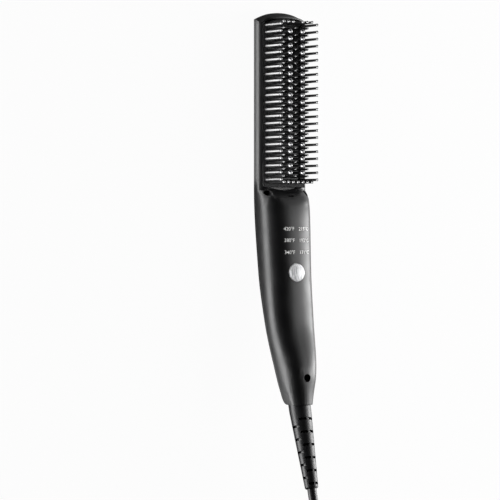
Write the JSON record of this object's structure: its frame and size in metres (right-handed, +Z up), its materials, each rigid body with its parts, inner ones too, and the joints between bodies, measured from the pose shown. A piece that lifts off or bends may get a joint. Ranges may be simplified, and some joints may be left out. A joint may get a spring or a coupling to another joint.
{
  "type": "beard straightening brush",
  "caption": "Corded heated beard straightening brush with a removable comb guard, ball-tipped pins, a domed power button, a gabled back and a swivel cord with a slotted strain relief.",
  "frame": {"origin": "centre of the underside of the brush's own box, without its cord, on the surface that it lies on", "axes": "+X across the brush, +Y along it towards the tip of the head, +Z up through the teeth, with the gabled back down"},
  "size_m": [0.0534, 0.4419, 0.0509],
  "materials": {
    "housing_plastic": "fine matt spark-eroded black",
    "guard_plastic": "semi-matt moulded black",
    "comb_coating": "black ceramic coating on die-cast aluminium",
    "ball_plastic": "smooth heat-proof black",
    "inner_plastic": "plain moulded dark grey",
    "ceramic": "fired ceramic",
    "spring_metal": "stamped",
    "amber_film": "thin film and resin",
    "lead_sleeve": "silicone sleeve",
    "board_green": "solder mask",
    "part_yellow": "moulded",
    "button_silver": "satin silver paint",
    "clear_guide": "clear moulded",
    "screw_steel": "black zinc",
    "contact_brass": "stamped",
    "cord_rubber": "matt black sheath",
    "plug_plastic": "moulded black",
    "blade_metal": "nickel plated"
  },
  "bodies": {
    "brush": {"rear_cover": "housing_plastic", "front_housing": "housing_plastic", "comb_guard": "guard_plastic", "heat_comb": "comb_coating", "ball_tips": "ball_plastic", "heat_carrier": "inner_plastic", "ptc_heater": "ceramic", "electrode_strips": "spring_metal", "insulation_film": "amber_film", "heater_clip": "spring_metal", "heat_shield": "inner_plastic", "thermistor": "amber_film", "thermal_fuse": "amber_film", "heater_leads": "lead_sleeve", "control_board": "board_green", "board_capacitor": "part_yellow", "board_triac": "inner_plastic", "board_resistors": "part_yellow", "tact_switch": "inner_plastic", "indicator_lamps": "lead_sleeve", "light_guide": "clear_guide", "board_screws": "screw_steel", "shoulder_screws": "screw_steel", "tail_screw": "screw_steel", "contact_holder": "inner_plastic", "contact_springs": "contact_brass", "mains_leads": "lead_sleeve", "cord": "cord_rubber", "cord_hank": "cord_rubber", "cord_tail": "cord_rubber", "hank_tie": "cord_rubber", "plug_relief": "cord_rubber", "plug_body": "plug_plastic", "plug_blades": "blade_metal"},
    "button": {"power_button": "button_silver", "switch_plunger": "part_yellow"},
    "cord_swivel": {"strain_relief": "cord_rubber", "swivel_core": "inner_plastic", "contact_rings": "contact_brass"}
  },
  "joints": [
    {"name": "power_press", "type": "slide", "parent": "brush", "child": "button", "axis": [0, -0.0808, -0.9967], "range_m": [0, 0.0006], "stiffness_N_per_m": 1500},
    {"name": "cord_turn", "type": "hinge", "parent": "brush", "child": "cord_swivel", "pos_m": [0, -0.12, 0.0299], "axis": [0, -0.9659, 0.2588], "continuous": true}
  ]
}
